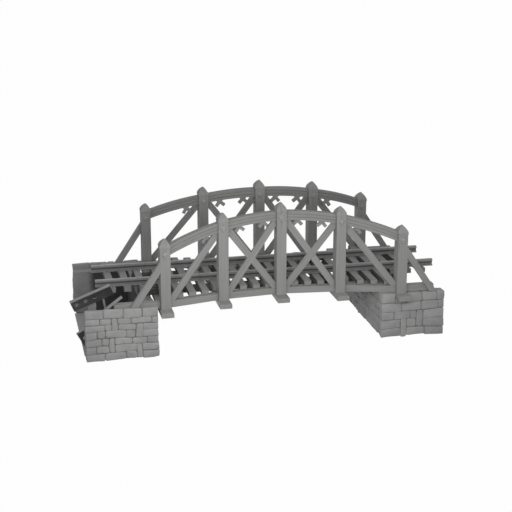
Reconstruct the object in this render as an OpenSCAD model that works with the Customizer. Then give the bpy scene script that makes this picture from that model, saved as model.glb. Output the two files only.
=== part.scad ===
// Timber railway bridge on two hollow stone abutments.
// Two arched side frames stand closer together at mid-span than at the ends, so the plan is an hourglass.
// Millimetres, +Z up, +X along the track, the near side is -Y. Ground is z = 0.
// Origin: middle of the overall length and width, on the ground.

/* [Side frames] */
// Distance between neighbouring posts along the track
post_spacing = 1800; // [1720:10:1900]
// Post size along the track
post_width = 300; // [270:5:330]
// Post size across the track
post_depth = 380; // [350:5:410]
// Frame centre line to track centre line at the middle post
half_width_mid = 1495; // [1430:5:1560]
// Frame centre line to track centre line at the quarter posts
half_width_quarter = 1670; // [1600:5:1740]
// Frame centre line to track centre line at the end posts
half_width_end = 2120; // [2060:5:2200]
// Height of the pointed post head above its shoulder
head_height = 240; // [225:5:280]
// How far the post head flares out beyond the shaft on each side
head_flare = 12; // [6:1:16]
// Height over which the head flares out
flare_height = 60; // [30:5:80]
// Width of the small flat on the tip of a post head
head_tip = 16; // [10:1:24]
// Post tip above the arch rail centre line
tip_rise = 400; // [390:5:450]

/* [Arch rails] */
// Arch rail centre line above the post foot at the end posts
arch_spring = 1720; // [1640:10:1800]
// Rise of the arch from the end posts to the middle post
arch_rise = 740; // [680:10:800]
// Height of the arch rail section
rail_height = 280; // [260:5:300]
// Depth of the arch rail section across the track
rail_depth = 200; // [190:2:220]
// Width of each lengthwise groove in the arch rail faces
groove_width = 22; // [12:1:30]
// Depth of each lengthwise groove in the arch rail faces
groove_depth = 10; // [5:1:16]

/* [Braces] */
// Face width of the crossed braces
brace_width = 200; // [170:5:220]
// Depth of the crossed braces across the track
brace_depth = 80; // [70:2:84]
// Face width of the end rakers
raker_width = 190; // [160:5:210]
// Height at which a raker axis meets the end post, above the post foot
raker_top = 1290; // [1200:10:1340]
// Run of a raker axis along the track
raker_run = 860; // [780:10:920]
// Free space between the rakers and the chords beside them
raker_gap = 5; // [2:1:10]
// Play all round where two braces are halved together
lap_clearance = 1; // [0.5:0.5:2]
// Free space between curved faces of pieces that fit together
fit_gap = 0.5; // [0.2:0.1:0.8]

/* [Brackets under the arch rails] */
// Distance from a post face to the middle of the cross that forms a bracket
bracket_place = 380; // [340:5:420]
// Length of a bracket arm from the middle of the cross
bracket_arm = 184; // [160:2:200]
// Width of a bracket arm
bracket_arm_width = 86; // [72:2:100]
// Depth of the middle of the cross below the arch rail
bracket_drop = 40; // [30:1:50]
// Thickness of a bracket across the track
bracket_thickness = 60; // [40:2:64]
// Angle of the bracket arms to the arch rail in degrees
bracket_angle = 45; // [40:1:50]

/* [Floor] */
// Top of the floor beams above the ground
seat_height = 1400; // [1300:10:1500]
// Floor beam size along the track
floor_beam_width = 370; // [340:5:400]
// Floor beam height
floor_beam_height = 140; // [120:5:170]
// Floor beam length past the outer post face
floor_beam_overhang = 350; // [300:10:400]
// Height of the bottom chords and of the stringers beside them
chord_height = 200; // [180:5:220]
// Depth of the bottom chords across the track
chord_depth = 240; // [230:2:260]
// Length of the chord past the left end post
chord_left_run = 1500; // [1400:10:1600]
// Length of the chord past the right end post
chord_right_run = 1070; // [1000:10:1160]
// Width of the stringers under the running rails
stringer_width = 180; // [150:5:220]

/* [Track] */
// Running rail centre line to track centre line
rail_centre = 752; // [720:2:790]
// Height of a running rail
running_rail_height = 215; // [200:5:230]
// Width of the foot of a running rail
rail_foot_width = 140; // [125:1:155]
// Width of the head of a running rail
rail_head_width = 112; // [100:1:124]
// Thickness of the web of a running rail
rail_web = 40; // [32:1:48]
// Length of the running rails past the left end post
rail_left_run = 1908; // [1860:4:1960]
// Length of the running rails past the right end post
rail_right_run = 1512; // [1480:4:1560]
// Sleeper size along the track
sleeper_width = 225; // [200:5:240]
// Sleeper height
sleeper_height = 145; // [130:5:160]
// Place of the first sleeper past the middle post
sleeper_offset = 60; // [40:2:70]
// Distance from the left rail ends to the first sleeper
left_sleeper_setback = 480; // [440:10:500]
// Distance from the right rail ends to the last sleeper
right_sleeper_setback = 410; // [370:10:440]
// Distance between the sleepers over the abutments
end_sleeper_pitch = 465; // [440:5:480]
// Half length of the short sleepers over the abutments
short_sleeper_half = 1000; // [940:10:1040]
// Free space at the ends of the long sleepers
sleeper_end_gap = 15; // [10:1:25]

/* [Abutments] */
// Thickness of the breast walls that face each other across the opening
breast_thickness = 400; // [360:10:440]
// Gap from the first floor beam to the left breast wall
left_beam_gap = 65; // [30:5:90]
// Gap from the last floor beam to the right breast wall
right_beam_gap = 25; // [15:5:40]
// Length of the left wing walls along the track
left_wing_length = 2140; // [2070:10:2200]
// Length of the right wing walls along the track
right_wing_length = 1995; // [1940:5:2040]
// Strip of wall top outside the rakers
seat_margin = 5; // [2:1:20]
// Thickness of the raised outer course on the left wing walls
parapet_thickness = 150; // [120:5:180]
// Height of the raised outer course above the wall seat
parapet_height = 160; // [120:5:190]
// Play on each side of a floor beam in its wall notch
notch_clearance = 3; // [1:1:8]
// Thickness of the stone floor inside the abutments
floor_thickness = 35; // [30:1:36]

/* [Wreckage] */
// Depth of the upper fallen girder
girder_depth = 390; // [370:5:410]
// Flange width of the fallen girders
girder_flange = 110; // [90:5:130]
// Plate thickness of the fallen girders
girder_plate = 24; // [18:1:30]
// Length of the upper fallen girder
girder_length = 1280; // [1240:10:1330]
// Slope of the upper fallen girder in degrees
girder_tilt = 21; // [19:0.5:23]
// Lean of the upper fallen girder about its length in degrees
girder_lean = 20; // [16:1:22]
// Height of the lower end of the upper fallen girder above the wall seats
girder_tip_rise = 66; // [20:2:110]
// How far the upper fallen girder sticks out past the left walls
girder_overhang = 340; // [300:10:380]
// Distance of the upper fallen girder from the ends of the short sleepers
girder_clear = 190; // [175:5:215]
// Radius of the round holes in the girder webs
girder_hole = 60; // [50:2:66]
// Distance between girder holes
girder_hole_pitch = 290; // [270:5:300]
// Size of the squared broken prop under the upper girder
prop_size = 230; // [200:5:260]
// Distance from the girder tip to the squared prop
prop_first = 560; // [520:10:600]
// Distance from the squared prop to the head of the leaning board
prop_step = 420; // [400:5:440]
// Thickness of the leaning board and of the plank
board_thickness = 60; // [50:2:70]
// Width of the leaning board
board_width = 200; // [180:5:220]
// Lean of the board from upright in degrees
board_lean = 9; // [6:0.5:11]
// Width of the plank that leans on the end of the near chord
plank_width = 130; // [110:5:140]
// Length of that plank
plank_length = 640; // [600:10:680]
// Slope of that plank in degrees
plank_tilt = 37; // [34:0.5:40]
// Depth of the lower fallen girder
lower_girder_depth = 515; // [480:5:530]
// Length of the lower fallen girder
lower_girder_length = 760; // [700:10:800]
// Slope of the lower fallen girder in degrees
lower_girder_tilt = 28.5; // [26:0.5:30]
// How far the lower fallen girder sticks out past the left walls
lower_girder_overhang = 177; // [150:1:200]
// Distance of the lower fallen girder from the track centre line
lower_girder_side = 1250; // [1235:5:1300]
// Length of the stone that the lower girder leans on
rubble_length = 330; // [300:10:360]
// Width of the stone that the lower girder leans on
rubble_width = 300; // [260:10:340]
// Distance from the tip of the lower girder to that stone
rubble_place = 400; // [380:10:420]

/* [Hidden] */
// Cuts run past the faces they cut by this much
overrun = 50;
// Smoothness of the round faces
$fn = 96;
// Smoothness of the large circles of the arch
arch_fn = 256;
// Hewn facets from the shoulder of a post head to its tip, and how full the curve is that they follow
head_facets = 5;
head_curve = 1.8;
// Places of the head, hole and web of the sections as shares of their sizes
rail_foot_edge_share = 0.20;
rail_foot_root_share = 0.27;
rail_head_root_share = 0.62;
rail_head_edge_share = 0.68;
rail_head_bevel_share = 0.94;
rail_head_top_share = 0.42;
groove_share = 1 / 6;

// Posts and bays along the frames
post_half_widths = [half_width_end, half_width_quarter, half_width_mid, half_width_quarter, half_width_end];
last_post = len(post_half_widths) - 1;
middle_post = last_post / 2;
frame_half_length = middle_post * post_spacing;

// Overall length runs from the tip of the upper fallen girder to the right ends of the rails
left_face_raw = -frame_half_length - floor_beam_width / 2 - left_beam_gap;
left_back_raw = left_face_raw - left_wing_length;
girder_tip_raw = left_back_raw - girder_overhang;
rail_right_raw = frame_half_length + rail_right_run;
shift = -(girder_tip_raw + rail_right_raw) / 2;

// Places along the track in the part's own frame
left_face = left_face_raw + shift;
left_back = left_back_raw + shift;
right_face = frame_half_length - floor_beam_width / 2 - right_beam_gap - breast_thickness + shift;
right_back = right_face + right_wing_length;
rail_left = -frame_half_length - rail_left_run + shift;
rail_right = rail_right_raw + shift;
girder_tip = girder_tip_raw + shift;
chord_left = post_x(0) - chord_left_run;
stringer_left = left_face - breast_thickness;
stringer_right = right_face + breast_thickness;
lower_tip = left_back - lower_girder_overhang;

// Places across the track
wall_inner = half_width_end - post_depth / 2;
wall_seat = half_width_end + post_depth / 2 + seat_margin;
wall_outer = wall_seat + parapet_thickness;
raker_depth = post_depth - chord_depth - raker_gap;
chord_outer = chord_depth - post_depth / 2;
brace_inner = brace_depth - chord_outer;
bracket_play = 2 * fit_gap;
girder_side = short_sleeper_half + girder_clear;
girder_foot = girder_depth * sin(girder_lean);
girder_corner = girder_flange / 2 * sin(girder_lean) * sin(girder_tilt);
plank_side = half_width_end + chord_outer - chord_depth / 2;

// Levels
chord_top = seat_height + chord_height;
sleeper_top = chord_top + sleeper_height;
rail_top = sleeper_top + running_rail_height;
arch_radius = (frame_half_length * frame_half_length + arch_rise * arch_rise) / (2 * arch_rise);
under_radius = arch_radius - rail_height / 2;
frame_top = seat_height + arch_spring + arch_rise + tip_rise;
frame_reach = half_width_end + post_depth;

// Sleepers: nine steps to two bays on the span, three short ones past each end of it
steps_to_two_bays = 9;
sleeper_pitch = 2 * post_spacing / steps_to_two_bays;
long_sleeper_steps = steps_to_two_bays - 1;
end_sleepers = 3;

// Place of post number i along the track
function post_x(i) = (i - middle_post) * post_spacing + shift;
// Arch rail centre height at post number i
function arch_z(i) = seat_height + arch_spring + arch_rise - arch_radius
    + sqrt(pow(arch_radius, 2) - pow((i - middle_post) * post_spacing, 2));
// Plan length and plan angle of bay number i on the near side
function bay_side(i) = post_half_widths[i] - post_half_widths[i + 1];
function bay_length(i) = sqrt(pow(post_spacing, 2) + pow(bay_side(i), 2));
function bay_angle(i) = atan2(bay_side(i), post_spacing);
// Centre of the arch rail circle in the upright plane of bay number i
function bay_climb(i) = arch_z(i + 1) - arch_z(i);
function bay_slant(i) = sqrt(pow(bay_length(i), 2) + pow(bay_climb(i), 2));
function bay_sag(i) = sqrt(pow(arch_radius, 2) - pow(bay_slant(i) / 2, 2));
function arc_x(i) = bay_length(i) / 2 + bay_sag(i) * bay_climb(i) / bay_slant(i);
function arc_z(i) = (arch_z(i) + arch_z(i + 1)) / 2 - bay_sag(i) * bay_length(i) / bay_slant(i);
// Underside of the arch rail at distance x along bay number i
function under_z(i, x) = arc_z(i) + sqrt(pow(under_radius, 2) - pow(x - arc_x(i), 2));
// Post faces at the two ends of bay number i, in that bay
function bay_start(i) = post_width / 2 / cos(bay_angle(i));
function bay_end(i) = bay_length(i) - bay_start(i);
// Closes the right half of an outline with its mirror image
function both_halves(half) = concat(half, [for (k = [len(half) - 1 : -1 : 0]) [-half[k].x, half[k].y]]);
// Place of sleeper number k along the track from the middle post
function sleeper_x(k) = k * sleeper_pitch + sleeper_offset;
// Free distance of a sleeper at x to the nearest post
function post_distance(x) = min([for (i = [0 : last_post]) abs(x - (i - middle_post) * post_spacing)])
    - (post_width + sleeper_width) / 2;
// Frame half width at a distance along the track from the middle post
function half_width_at(x) = let (
    bay = min(floor(abs(x) / post_spacing), middle_post - 1),
    along = abs(x) / post_spacing - bay
) post_half_widths[middle_post + bay] * (1 - along) + post_half_widths[middle_post + bay + 1] * along;

// Puts children into the upright plane of bay number i: x along the bay, +y towards the track
module in_bay(i) {
    translate([post_x(i), -post_half_widths[i], 0])
        rotate([0, 0, bay_angle(i)])
            children();
}

// Keeps what lies between the posts of bay number i and above a level
module between_posts(i, level) {
    intersection() {
        translate([post_x(i) + post_width / 2, -frame_reach, level])
            cube([post_spacing - post_width, 2 * frame_reach, frame_top - level]);
        in_bay(i) children();
    }
}

// Puts children on the centre of the arch circle of bay number i, axis across the bay.
// The circle's first corner lands on the bay's outermost post face, so it keeps its size when drawn coarsely.
module on_arch_centre(i) {
    extreme = i % 2 == 0 ? bay_start(i) : bay_end(i);
    translate([arc_x(i), 0, arc_z(i)])
        rotate([0, asin((extreme - arc_x(i)) / under_radius) - 90, 0])
            rotate([90, 0, 0])
                children();
}

// Round block that fills the space under the arch rail of bay number i
module under_arch(i) {
    on_arch_centre(i)
        cylinder(r = under_radius - fit_gap, h = 2 * frame_reach, center = true, $fn = arch_fn);
}

// Straight squared timber from point a to point b of an upright plane, run past both ends
module timber(a, b, width, depth, outer) {
    run = b - a;
    length = norm(run);
    translate([a.x, outer, a.y])
        rotate([0, -atan2(run.y, run.x), 0])
            translate([-width, 0, -width / 2])
                cube([length + 2 * width, depth, width]);
}

// Mirrors near-side pieces to the far side
module far_side() {
    mirror([0, 1, 0]) children();
}

// Outline of a post: plain shaft, flared shoulder, pointed head hewn in flat facets
module post_outline(width, height) {
    half = width / 2;
    half_head = half + head_flare;
    shoulder = height - head_height;
    spread = half_head - head_tip / 2;
    half_outline = concat(
        [[half, 0], [half, shoulder - flare_height]],
        [for (k = [0 : head_facets])
            let (climb = k / head_facets)
                [half_head - spread * pow(climb, head_curve), shoulder + head_height * climb]]
    );
    polygon(both_halves(half_outline));
}

module near_post(i) {
    height = arch_z(i) + tip_rise - seat_height;
    color("#8a8987")
        translate([post_x(i), -post_half_widths[i], seat_height])
            intersection() {
                rotate([90, 0, 0])
                    linear_extrude(height = post_depth + 2 * head_flare, center = true)
                        post_outline(post_width, height);
                rotate([90, 0, 90])
                    linear_extrude(height = post_width + 2 * head_flare, center = true)
                        post_outline(post_depth, height);
            }
}

// Flat ring about the arch axis: mean radius, radial size and depth along the axis
module arch_ring(radius, size, depth) {
    difference() {
        cylinder(r = radius + size / 2, h = depth, center = true, $fn = arch_fn);
        cylinder(r = radius - size / 2, h = depth + 2 * overrun, center = true, $fn = arch_fn);
    }
}

// Whole circle of arch rail with two grooves in each face
module grooved_ring() {
    difference() {
        arch_ring(arch_radius, rail_height, rail_depth);
        for (side = [-1, 1], place = [-1, 1])
            translate([0, 0, side * rail_depth / 2])
                arch_ring(arch_radius + place * rail_height * groove_share, groove_width, 2 * groove_depth);
    }
}

module near_arch_rail() {
    color("#8b8a88")
        for (i = [0 : last_post - 1])
            between_posts(i, seat_height)
                on_arch_centre(i) grooved_ring();
}

module near_chord() {
    color("#858482") {
        for (i = [0 : last_post - 1])
            between_posts(i, seat_height)
                translate([0, -chord_outer, seat_height])
                    cube([bay_length(i), chord_depth, chord_height]);
        translate([chord_left, -half_width_end - chord_outer, seat_height])
            cube([chord_left_run - post_width / 2, chord_depth, chord_height]);
        translate([post_x(last_post) + post_width / 2, -half_width_end - chord_outer, seat_height])
            cube([chord_right_run - post_width / 2, chord_depth, chord_height]);
    }
}

// Axis timbers of the two braces of bay number i; extra widens them for the lap
module rising_timber(i, extra) {
    timber([bay_start(i), chord_top], [bay_end(i), under_z(i, bay_end(i))],
           brace_width + 2 * extra, brace_depth, -chord_outer);
}
module falling_timber(i, extra) {
    timber([bay_start(i), under_z(i, bay_start(i))], [bay_end(i), chord_top],
           brace_width + 2 * extra, brace_depth, -chord_outer);
}

// Slab on one side of the lap plane of the crossed braces: side 1 is towards the track
module lap_half(side) {
    translate([0, -chord_outer + brace_depth / 2 - (side < 0 ? frame_reach : lap_clearance / 2), 0])
        cube([frame_reach, frame_reach + lap_clearance / 2, frame_top]);
}

// Rising braces of the first three bays, halved over the falling ones
module near_rising_braces() {
    color("#8d8c8a")
        for (i = [0 : last_post - 2])
            between_posts(i, chord_top)
                difference() {
                    intersection() {
                        rising_timber(i, 0);
                        under_arch(i);
                    }
                    if (i > 0)
                        intersection() {
                            falling_timber(i, lap_clearance);
                            lap_half(1);
                        }
                }
}

// Falling braces of the last three bays, halved under the rising ones
module near_falling_braces() {
    color("#878684")
        for (i = [1 : last_post - 1])
            between_posts(i, chord_top)
                difference() {
                    intersection() {
                        falling_timber(i, 0);
                        under_arch(i);
                    }
                    if (i < last_post - 1)
                        intersection() {
                            rising_timber(i, lap_clearance);
                            lap_half(-1);
                        }
                }
}

// One raker in the plane of an end frame: foot on the wall top, head against the post
module raker() {
    intersection() {
        timber([post_width / 2, raker_top], [post_width / 2 + raker_run, 0],
               raker_width, raker_depth, -post_depth / 2);
        translate([post_width / 2, -post_depth, 0])
            cube([raker_run + 2 * raker_width, 2 * post_depth, frame_top]);
    }
}

module near_end_rakers() {
    color("#8c8b89") {
        translate([post_x(last_post), -half_width_end, seat_height])
            raker();
        translate([post_x(0), -half_width_end, seat_height])
            mirror([1, 0, 0]) raker();
    }
}

// Outline of a bracket: two crossed arms, cut off level under the arch rail
module bracket_outline() {
    difference() {
        for (side = [-1, 1])
            translate([0, -bracket_drop])
                rotate([0, 0, side * bracket_angle])
                    square([2 * bracket_arm, bracket_arm_width], center = true);
        translate([-bracket_arm, -bracket_play])
            square(2 * bracket_arm);
    }
}

// Bracket at distance x along bay number i, turned to the slope of the rail there
module bracket(i, x) {
    in_bay(i)
        translate([x, rail_depth / 2, under_z(i, x)])
            rotate([0, asin((x - arc_x(i)) / under_radius), 0])
                rotate([90, 0, 0])
                    linear_extrude(height = bracket_thickness)
                        bracket_outline();
}

module near_brackets() {
    color("#868583") {
        for (i = [0 : last_post - 2])
            bracket(i, bay_end(i) - bracket_place);
        for (i = [1 : last_post - 1])
            bracket(i, bay_start(i) + bracket_place);
    }
}

module floor_beam(i) {
    half = post_half_widths[i] + post_depth / 2 + floor_beam_overhang;
    color("#7f7e7c")
        translate([post_x(i) - floor_beam_width / 2, -half, seat_height - floor_beam_height])
            cube([floor_beam_width, 2 * half, floor_beam_height]);
}

module near_stringer() {
    color("#777674")
        translate([stringer_left, -rail_centre - stringer_width / 2, seat_height])
            cube([stringer_right - stringer_left, stringer_width, chord_height]);
}

// Sleeper with its middle at x from the middle post
module sleeper(x, half) {
    translate([x + shift - sleeper_width / 2, -half, chord_top])
        cube([sleeper_width, 2 * half, sleeper_height]);
}

// Half length of the long sleeper at x: up to the braces, or up to the post face beside a post
function long_sleeper_half(x) = post_distance(x) < sleeper_end_gap
    ? post_half_widths[middle_post + round(x / post_spacing)] - post_depth / 2 - sleeper_end_gap
    : half_width_at(max(abs(x) - sleeper_width / 2, 0)) - brace_inner - sleeper_end_gap;

// Sleepers that reach out onto the chords
module long_sleepers() {
    color("#81807e")
        for (k = [-long_sleeper_steps : long_sleeper_steps])
            sleeper(sleeper_x(k), long_sleeper_half(sleeper_x(k)));
}

module short_sleepers() {
    color("#81807e") {
        sleeper(sleeper_x(-long_sleeper_steps - 1), short_sleeper_half);
        for (k = [0 : end_sleepers - 1]) {
            sleeper(rail_left - shift + left_sleeper_setback + k * end_sleeper_pitch, short_sleeper_half);
            sleeper(rail_right - shift - right_sleeper_setback - k * end_sleeper_pitch, short_sleeper_half);
        }
    }
}

// Deep rail section with a broad foot
module running_rail_section() {
    foot = rail_foot_width / 2;
    head = rail_head_width / 2;
    web = rail_web / 2;
    height = running_rail_height;
    half_outline = [
        [foot, 0], [foot, height * rail_foot_edge_share], [web, height * rail_foot_root_share],
        [web, height * rail_head_root_share], [head, height * rail_head_edge_share],
        [head, height * rail_head_bevel_share], [rail_head_width * rail_head_top_share, height]
    ];
    polygon(both_halves(half_outline));
}

module near_rail() {
    color("#7a7a7a")
        translate([rail_left, -rail_centre, sleeper_top])
            rotate([90, 0, 90])
                linear_extrude(height = rail_right - rail_left)
                    running_rail_section();
}

module left_breast_wall() {
    color("#8e8d8b")
        translate([left_face - breast_thickness, -wall_inner, 0])
            cube([breast_thickness, 2 * wall_inner, seat_height]);
}

// Left wing wall: wide seat for chord and raker with a raised outer course
module left_near_wing_wall() {
    color("#8e8d8b")
        translate([left_back, 0, 0])
            rotate([90, 0, 90])
                linear_extrude(height = left_wing_length)
                    polygon([
                        [-wall_inner, 0], [-wall_inner, seat_height], [-wall_seat, seat_height],
                        [-wall_seat, seat_height + parapet_height],
                        [-wall_outer, seat_height + parapet_height], [-wall_outer, 0]
                    ]);
}

// Stone floors between the walls of the abutments
module left_floor() {
    color("#868583")
        translate([left_back, -wall_inner, 0])
            cube([left_wing_length - breast_thickness, 2 * wall_inner, floor_thickness]);
}
module right_floor() {
    color("#868583")
        translate([right_face + breast_thickness, -wall_inner, 0])
            cube([right_wing_length - breast_thickness, 2 * wall_inner, floor_thickness]);
}

module right_breast_wall() {
    color("#8e8d8b")
        translate([right_face, -wall_inner, 0])
            cube([breast_thickness, 2 * wall_inner, seat_height]);
}

// Right wing wall, notched for the end of the last floor beam
module right_near_wing_wall() {
    color("#8e8d8b")
        difference() {
            translate([right_face, -wall_seat, 0])
                cube([right_wing_length, wall_seat - wall_inner, seat_height]);
            translate([post_x(last_post) - floor_beam_width / 2 - notch_clearance,
                       -wall_seat - overrun, seat_height - floor_beam_height])
                cube([floor_beam_width + 2 * notch_clearance,
                      wall_seat - wall_inner + 2 * overrun, floor_beam_height + overrun]);
        }
}

// Perforated girder lying along +x: a top plate at z = 0 on an upright web
module girder(length, depth) {
    holes = floor((length - girder_hole_pitch / 2) / girder_hole_pitch);
    difference() {
        translate([0, -girder_flange / 2, -depth])
            cube([length, girder_flange, depth]);
        for (side = [-1, 1])
            translate([-overrun, side * (girder_plate / 2 + girder_flange / 2) - girder_flange / 2,
                       -depth - overrun])
                cube([length + 2 * overrun, girder_flange, depth + overrun - girder_plate]);
        for (k = [0 : holes - 1])
            translate([girder_hole_pitch * (k + 1 / 2), 0, -depth / 2])
                rotate([90, 0, 0])
                    cylinder(r = girder_hole, h = girder_flange + 2 * overrun, center = true);
    }
}

// Frame of the upper fallen girder: origin on top of its lower end, its web leans towards the track
module at_fallen_girder() {
    translate([girder_tip + girder_corner, -girder_side, seat_height + girder_tip_rise])
        rotate([0, -girder_tilt, 0])
            rotate([girder_lean, 0, 0])
                children();
}

module fallen_girder() {
    color("#787878")
        at_fallen_girder() girder(girder_length, girder_depth);
}

// Frame of the lower fallen girder: the foot of its web stands on the floor
module at_lower_girder() {
    translate([lower_tip, -lower_girder_side, floor_thickness + lower_girder_depth * cos(lower_girder_tilt)])
        rotate([0, -lower_girder_tilt, 0])
            children();
}

module fallen_lower_girder() {
    color("#787878")
        at_lower_girder() girder(lower_girder_length, lower_girder_depth);
}

// Takes away all that lies above the underside of the upper girder
module below_fallen_girder() {
    difference() {
        children();
        at_fallen_girder()
            translate([-girder_length, -girder_length, -girder_depth])
                cube([3 * girder_length, 2 * girder_length, 3 * girder_length]);
    }
}

// Squared prop and leaning board under the upper girder, and a plank that leans on the near chord
module broken_props() {
    tall = seat_height + girder_length;
    color("#83827f") {
        below_fallen_girder()
            translate([girder_tip + prop_first, girder_foot - girder_side - prop_size / 2, floor_thickness])
                cube([prop_size, prop_size, tall]);
        below_fallen_girder()
            translate([girder_tip + prop_first + prop_size + prop_step,
                       girder_foot - girder_side - board_width / 2, floor_thickness])
                intersection() {
                    rotate([0, -board_lean, 0])
                        translate([0, 0, -tall])
                            cube([board_thickness, board_width, 2 * tall]);
                    translate([-tall, -tall, 0])
                        cube(2 * tall);
                }
        translate([chord_left - fit_gap, -plank_side, seat_height])
            intersection() {
                translate([0, 0, chord_height])
                    rotate([0, -plank_tilt, 0])
                        translate([-plank_length / 2 - plank_width, -plank_width / 2, 0])
                            cube([plank_length + plank_width, plank_width, board_thickness]);
                translate([-plank_length, -plank_length, 0])
                    cube(2 * plank_length);
            }
    }
}

// Loose stone cut to the slope of the lower girder
module rubble_stone() {
    color("#8a8986")
        difference() {
            translate([lower_tip + rubble_place, girder_flange / 2 - lower_girder_side - rubble_width,
                       floor_thickness])
                cube([rubble_length, rubble_width, lower_girder_depth + lower_girder_length]);
            at_lower_girder()
                translate([-lower_girder_length, -lower_girder_length, -lower_girder_depth])
                    cube([3 * lower_girder_length, 2 * lower_girder_length, 3 * lower_girder_length]);
        }
}

left_breast_wall();
left_near_wing_wall();
far_side() left_near_wing_wall();  // left_far_wing_wall
right_breast_wall();
right_near_wing_wall();
far_side() right_near_wing_wall();  // right_far_wing_wall
left_floor();
right_floor();
floor_beam(0);  // floor_beam_1
floor_beam(1);  // floor_beam_2
floor_beam(2);  // floor_beam_3
floor_beam(3);  // floor_beam_4
floor_beam(4);  // floor_beam_5
near_post(0);  // near_post_1
near_post(1);  // near_post_2
near_post(2);  // near_post_3
near_post(3);  // near_post_4
near_post(4);  // near_post_5
far_side() near_post(0);  // far_post_1
far_side() near_post(1);  // far_post_2
far_side() near_post(2);  // far_post_3
far_side() near_post(3);  // far_post_4
far_side() near_post(4);  // far_post_5
near_arch_rail();
far_side() near_arch_rail();  // far_arch_rail
near_chord();
far_side() near_chord();  // far_chord
near_rising_braces();
near_falling_braces();
far_side() near_rising_braces();  // far_rising_braces
far_side() near_falling_braces();  // far_falling_braces
near_end_rakers();
far_side() near_end_rakers();  // far_end_rakers
near_brackets();
far_side() near_brackets();  // far_brackets
near_stringer();
far_side() near_stringer();  // far_stringer
long_sleepers();
short_sleepers();
near_rail();
far_side() near_rail();  // far_rail
fallen_girder();
fallen_lower_girder();
broken_props();
rubble_stone();
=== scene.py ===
"""Dressed timber railway bridge: two arched, cross-braced side frames on hollow stone abutments.

Metres, +Z up, +X along the track, the near side is -Y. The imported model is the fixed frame.
"""

import logging
import math
import random
from dataclasses import dataclass, field
from enum import Enum
from typing import Any, ClassVar, Iterator, Sequence

import bmesh
import bpy
import numpy as np
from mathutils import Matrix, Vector, noise


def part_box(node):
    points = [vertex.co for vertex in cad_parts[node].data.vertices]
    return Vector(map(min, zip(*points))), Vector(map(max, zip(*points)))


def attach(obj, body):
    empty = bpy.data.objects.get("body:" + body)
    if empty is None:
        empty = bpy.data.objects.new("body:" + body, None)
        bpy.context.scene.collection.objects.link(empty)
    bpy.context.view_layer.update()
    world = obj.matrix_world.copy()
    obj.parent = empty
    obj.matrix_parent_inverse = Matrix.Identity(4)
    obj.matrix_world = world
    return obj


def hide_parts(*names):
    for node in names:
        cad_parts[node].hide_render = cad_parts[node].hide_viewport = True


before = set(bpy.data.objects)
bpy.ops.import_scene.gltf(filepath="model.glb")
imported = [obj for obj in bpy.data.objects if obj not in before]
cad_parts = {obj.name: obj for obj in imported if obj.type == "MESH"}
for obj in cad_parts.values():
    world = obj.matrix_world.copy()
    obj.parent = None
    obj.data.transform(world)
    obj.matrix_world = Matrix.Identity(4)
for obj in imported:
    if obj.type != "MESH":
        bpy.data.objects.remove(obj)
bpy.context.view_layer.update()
LOG = logging.getLogger("bridge")
BODY = "root"
NOISE_SEED = 17
POSTS = 5
WELD = 0.0002
FLAT_ANGLE = math.radians(0.4)
X, Y, Z = range(3)

Triple = tuple[float, float, float]
Colour = Triple
Span = tuple[float, float]
Faces = set[bmesh.types.BMFace]


class Slot(Enum):
    """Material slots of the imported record."""

    STONE = "stone"
    TIMBER = "timber"
    SLEEPER = "sleeper"
    IRON = "iron"


class Side(Enum):
    """Sides of the track, as the sign of y."""

    NEAR = -1
    FAR = 1


class Shade:
    """One output socket of a node tree, with arithmetic on values."""

    def __init__(self, network: "Network", socket: bpy.types.NodeSocket) -> None:
        """Hold a socket and the tree that owns it."""
        self.network = network
        self.socket = socket

    def _math(self, operation: str, first: Any, second: Any = 0.0) -> "Shade":
        """Add one Math node.

        Args:
            operation: Name of the Math node's operation.
            first: First value or socket.
            second: Second value or socket.

        Returns:
            The node's result.
        """
        return self.network.node("ShaderNodeMath", {"operation": operation}, {0: first, 1: second})

    def __add__(self, other: Any) -> "Shade":
        """Sum."""
        return self._math("ADD", self, other)

    def __radd__(self, other: Any) -> "Shade":
        """Sum, reflected."""
        return self._math("ADD", other, self)

    def __sub__(self, other: Any) -> "Shade":
        """Difference."""
        return self._math("SUBTRACT", self, other)

    def __rsub__(self, other: Any) -> "Shade":
        """Difference, reflected."""
        return self._math("SUBTRACT", other, self)

    def __mul__(self, other: Any) -> "Shade":
        """Product."""
        return self._math("MULTIPLY", self, other)

    def __abs__(self) -> "Shade":
        """Size without sign."""
        return self._math("ABSOLUTE", self)

    def sine(self) -> "Shade":
        """Sine of the value in radians."""
        return self._math("SINE", self)

    def between(self, low: float, high: float) -> "Shade":
        """Stretch low to high over 0 to 1 and cut off the rest.

        Args:
            low: Value that becomes 0.
            high: Value that becomes 1.

        Returns:
            The stretched value.
        """
        return self.network.node("ShaderNodeMapRange", {"clamp": True, "interpolation_type": "SMOOTHSTEP"},
                                 {"Value": self, "From Min": low, "From Max": high})


class Network:
    """A node tree that grows through one method."""

    def __init__(self, tree: bpy.types.NodeTree) -> None:
        """Hold the tree and empty it."""
        self.tree = tree
        self.tree.nodes.clear()

    def node(self, kind: str, settings: dict[str, Any] | None = None,
             inputs: dict[Any, Any] | None = None, output: int | str = 0) -> Shade:
        """Add one node, set it up and link it.

        Args:
            kind: Type name of the node.
            settings: Properties of the node, set first.
            inputs: Values, sockets or lists of sockets, by input name or number.
            output: Name or number of the output that is handed back.

        Returns:
            The chosen output.
        """
        made = self.tree.nodes.new(kind)
        for key, value in (settings or {}).items():
            setattr(made, key, value)
        for key, value in (inputs or {}).items():
            for one in value if isinstance(value, list) else [value]:
                if isinstance(one, Shade):
                    self.tree.links.new(one.socket, made.inputs[key])
                else:
                    made.inputs[key].default_value = one
        if not len(made.outputs):
            return Shade(self, made.inputs[0])
        return Shade(self, made.outputs[output])


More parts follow.
